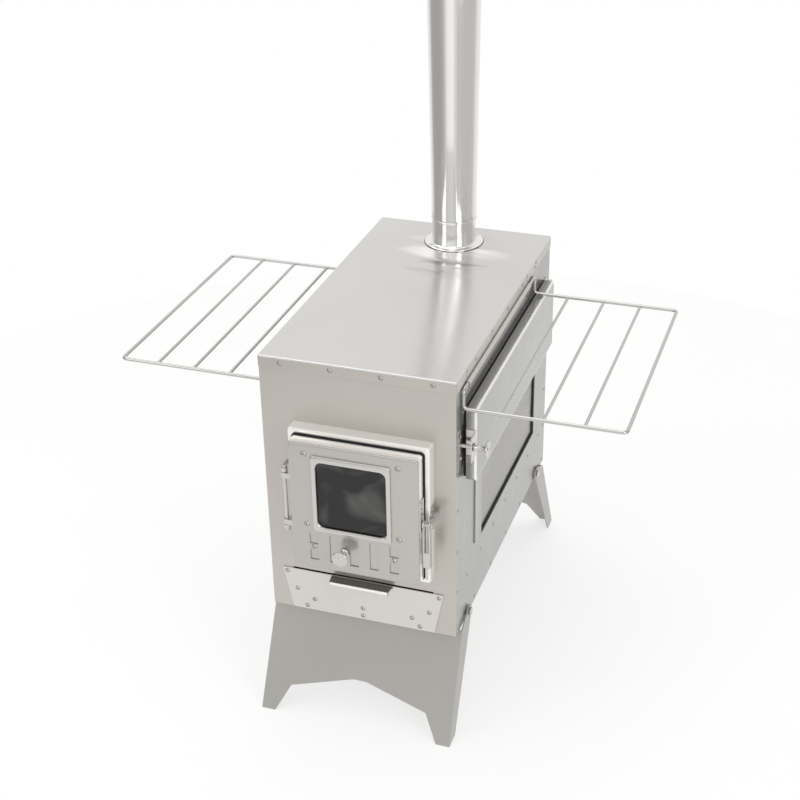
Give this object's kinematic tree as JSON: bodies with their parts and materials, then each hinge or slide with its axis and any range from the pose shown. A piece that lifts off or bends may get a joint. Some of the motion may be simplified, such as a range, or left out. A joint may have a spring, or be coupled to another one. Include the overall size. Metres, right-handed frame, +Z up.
{
  "type": "folding tent wood stove",
  "caption": "Folding sheet-steel tent stove with a glazed front door, side loading door, side window, wire side racks, ash drawer, splayed folding legs and a lift-off flue pipe.",
  "frame": {"origin": "on the ground under the middle of the firebox", "axes": "+X to the side with the loading door, +Y from the front door to the rear, +Z up"},
  "size_m": [0.6446, 0.5578, 0.895],
  "materials": {
    "front_sheet": "semi-mirror stainless sheet with a soft, wavy reflection",
    "body_sheet": "semi-mirror stainless sheet with a soft, wavy reflection",
    "lid_sheet": "bright semi-mirror stainless sheet",
    "door_sheet": "satin stainless sheet",
    "side_door_sheet": "satin stainless sheet",
    "drawer_sheet": "satin stainless sheet",
    "leg_sheet": "satin stainless sheet with a fine vertical grain",
    "pipe_sheet": "rolled stainless sheet with a lapped seam",
    "inner_sheet": "plain stainless sheet, not polished",
    "fittings": "formed stainless fittings",
    "bright_fittings": "turned and polished stainless",
    "rack_wire": "welded stainless wire",
    "rivets": "stainless rivet and screw heads",
    "front_pane": "heat-resistant glass in front of a dark firebox",
    "side_pane": "heat-resistant glass with a semi-mirror face",
    "gasket_rope": "black woven glass-fibre seal"
  },
  "bodies": {
    "stove_body": {"front_wall": "front_sheet", "rear_wall": "body_sheet", "left_wall": "body_sheet", "right_wall": "body_sheet", "floor_plate": "body_sheet", "top_plate": "lid_sheet", "top_plate_rivets": "rivets", "side_wall_rivets": "rivets", "flue_collar": "pipe_sheet", "flue_collar_rivets": "rivets", "grate": "inner_sheet", "grate_rails": "inner_sheet", "drawer_runners": "inner_sheet", "front_door_collar": "door_sheet", "front_door_gasket": "gasket_rope", "front_hinge_lugs": "fittings", "front_hinge_pin": "fittings", "front_latch_keeper": "fittings", "side_door_frame": "body_sheet", "side_door_gasket": "gasket_rope", "side_hinge_lugs": "fittings", "side_hinge_pin": "fittings", "side_latch_keeper": "fittings", "side_window_glass": "side_pane", "side_window_gasket": "gasket_rope", "side_window_retainer": "inner_sheet", "side_window_strip": "side_door_sheet", "left_rack_rail": "fittings", "right_rack_rail": "fittings", "rack_rail_rivets": "rivets", "leg_pivot_screws": "rivets"},
    "front_door": {"front_door_shell": "door_sheet", "front_door_liner": "inner_sheet", "front_glass_frame": "door_sheet", "front_glass": "front_pane", "front_glass_gasket": "gasket_rope", "front_glass_retainer": "inner_sheet", "front_door_screws": "rivets", "front_hinge_knuckles": "fittings", "slider_guide_screws": "rivets", "front_latch_bracket": "fittings"},
    "air_control": {"air_slider": "door_sheet", "air_knob": "bright_fittings"},
    "front_latch": {"front_latch_handle": "bright_fittings"},
    "side_door": {"side_door_shell": "side_door_sheet", "side_door_liner": "inner_sheet", "side_hinge_knuckles": "fittings", "side_latch_bracket": "fittings"},
    "side_latch": {"side_latch_knob": "bright_fittings"},
    "left_rack": {"left_rack": "rack_wire"},
    "right_rack": {"right_rack": "rack_wire"},
    "ash_drawer": {"ash_drawer_tray": "inner_sheet", "ash_drawer_front": "drawer_sheet", "ash_drawer_rivets": "rivets"},
    "front_leg": {"front_leg": "leg_sheet"},
    "rear_leg": {"rear_leg": "leg_sheet"},
    "chimney": {"chimney_pipe": "pipe_sheet"}
  },
  "joints": [
    {"name": "front_door_hinge", "type": "hinge", "parent": "stove_body", "child": "front_door", "pos_m": [-0.0873, -0.2513, 0.323], "axis": [0, 0, -1], "range_deg": [0, 140]},
    {"name": "air_slide", "type": "slide", "parent": "front_door", "child": "air_control", "axis": [1, 0, 0], "range_m": [0, 0.0119]},
    {"name": "front_latch_pivot", "type": "hinge", "parent": "front_door", "child": "front_latch", "pos_m": [0.095, -0.2543, 0.32], "axis": [-1, 0, 0], "range_deg": [0, 90]},
    {"name": "side_door_hinge", "type": "hinge", "parent": "stove_body", "child": "side_door", "pos_m": [0.1337, 0.191, 0.4065], "axis": [0, 0, 1], "range_deg": [0, 110]},
    {"name": "side_latch_turn", "type": "hinge", "parent": "side_door", "child": "side_latch", "pos_m": [0.1412, -0.2115, 0.412], "axis": [1, 0, 0], "range_deg": [0, 90]},
    {"name": "left_rack_fold", "type": "hinge", "parent": "stove_body", "child": "left_rack", "pos_m": [-0.1264, -0.0383, 0.484], "axis": [0, 1, 0], "range_deg": [0, 135]},
    {"name": "right_rack_fold", "type": "hinge", "parent": "stove_body", "child": "right_rack", "pos_m": [0.1264, -0.0383, 0.484], "axis": [0, -1, 0], "range_deg": [0, 135]},
    {"name": "ash_drawer_slide", "type": "slide", "parent": "stove_body", "child": "ash_drawer", "axis": [0, -1, 0], "range_m": [0, 0.3]},
    {"name": "front_leg_fold", "type": "hinge", "parent": "stove_body", "child": "front_leg", "pos_m": [0, -0.1765, 0.1445], "axis": [1, 0, 0], "range_deg": [0, 115]},
    {"name": "rear_leg_fold", "type": "hinge", "parent": "stove_body", "child": "rear_leg", "pos_m": [0, 0.1765, 0.1445], "axis": [-1, 0, 0], "range_deg": [0, 115]},
    {"name": "chimney_lift", "type": "slide", "parent": "stove_body", "child": "chimney", "axis": [0, 0, 1], "range_m": [0, 0.06]}
  ]
}
